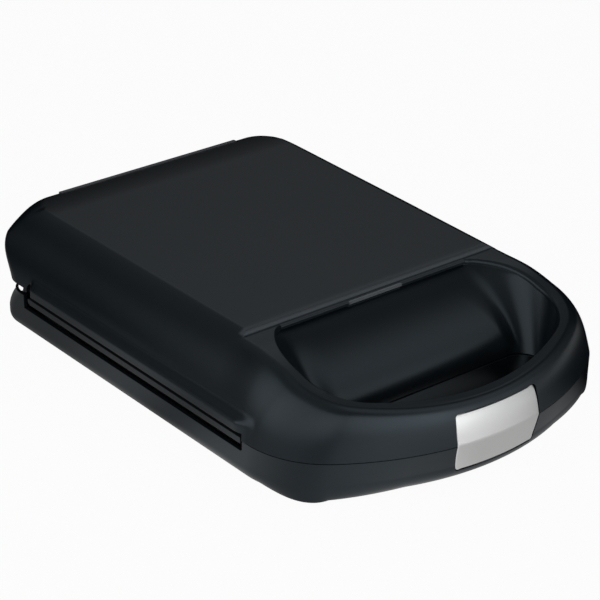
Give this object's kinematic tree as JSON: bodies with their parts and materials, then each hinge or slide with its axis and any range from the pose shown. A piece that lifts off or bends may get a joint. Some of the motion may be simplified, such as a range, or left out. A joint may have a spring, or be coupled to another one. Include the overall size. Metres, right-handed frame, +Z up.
{
  "type": "sandwich toaster",
  "caption": "Closed countertop sandwich toaster with a hinged lid, a looped carrying handle round a finger gap and a front latch plate",
  "frame": {"origin": "on the table under the middle of the closed appliance", "axes": "+Z up, -Y towards the handle and latch, +Y towards the hinge, +X to the right of someone who faces the latch"},
  "size_m": [0.2574, 0.3588, 0.079],
  "materials": {
    "housing": "satin black moulding",
    "frame": "matt black heat-resistant moulding",
    "lens": "pale plastic",
    "plate": "black non-stick coating",
    "steel": "plain steel",
    "sheet": "bright sheet metal",
    "latch": "satin silver",
    "rubber": "matt black rubber"
  },
  "bodies": {
    "base": {"base_shell": "housing", "base_frame": "frame", "lower_plate": "plate", "lower_element": "steel", "lower_reflector": "sheet", "base_hinge_brackets": "steel", "hinge_pins": "steel", "catch_plate": "sheet", "terminal_block": "lens", "thermal_fuse": "sheet", "cord_gland": "rubber", "base_screws": "steel", "feet": "rubber"},
    "lid": {"lid_shell": "housing", "rear_rail": "housing", "indicator_window": "lens", "indicator_lamps": "lens", "lid_frame": "frame", "upper_plate": "plate", "upper_element": "steel", "upper_reflector": "sheet", "thermostat": "steel", "latch_bracket": "sheet", "latch_pin": "steel", "latch_spring": "steel", "lid_hinge_arms": "steel", "lid_screws": "steel"},
    "latch": {"latch_plate": "latch"}
  },
  "joints": [
    {"name": "lid_hinge", "type": "hinge", "parent": "base", "child": "lid", "pos_m": [0, 0.1665, 0.033], "axis": [-1, 0, 0], "range_deg": [0, 100]},
    {"name": "latch_pivot", "type": "hinge", "parent": "lid", "child": "latch", "pos_m": [0, -0.168, 0.0452], "axis": [-1, 0, 0], "range_deg": [0, 30], "stiffness_Nm_per_rad": 0.02, "springref_deg": -11.46}
  ]
}
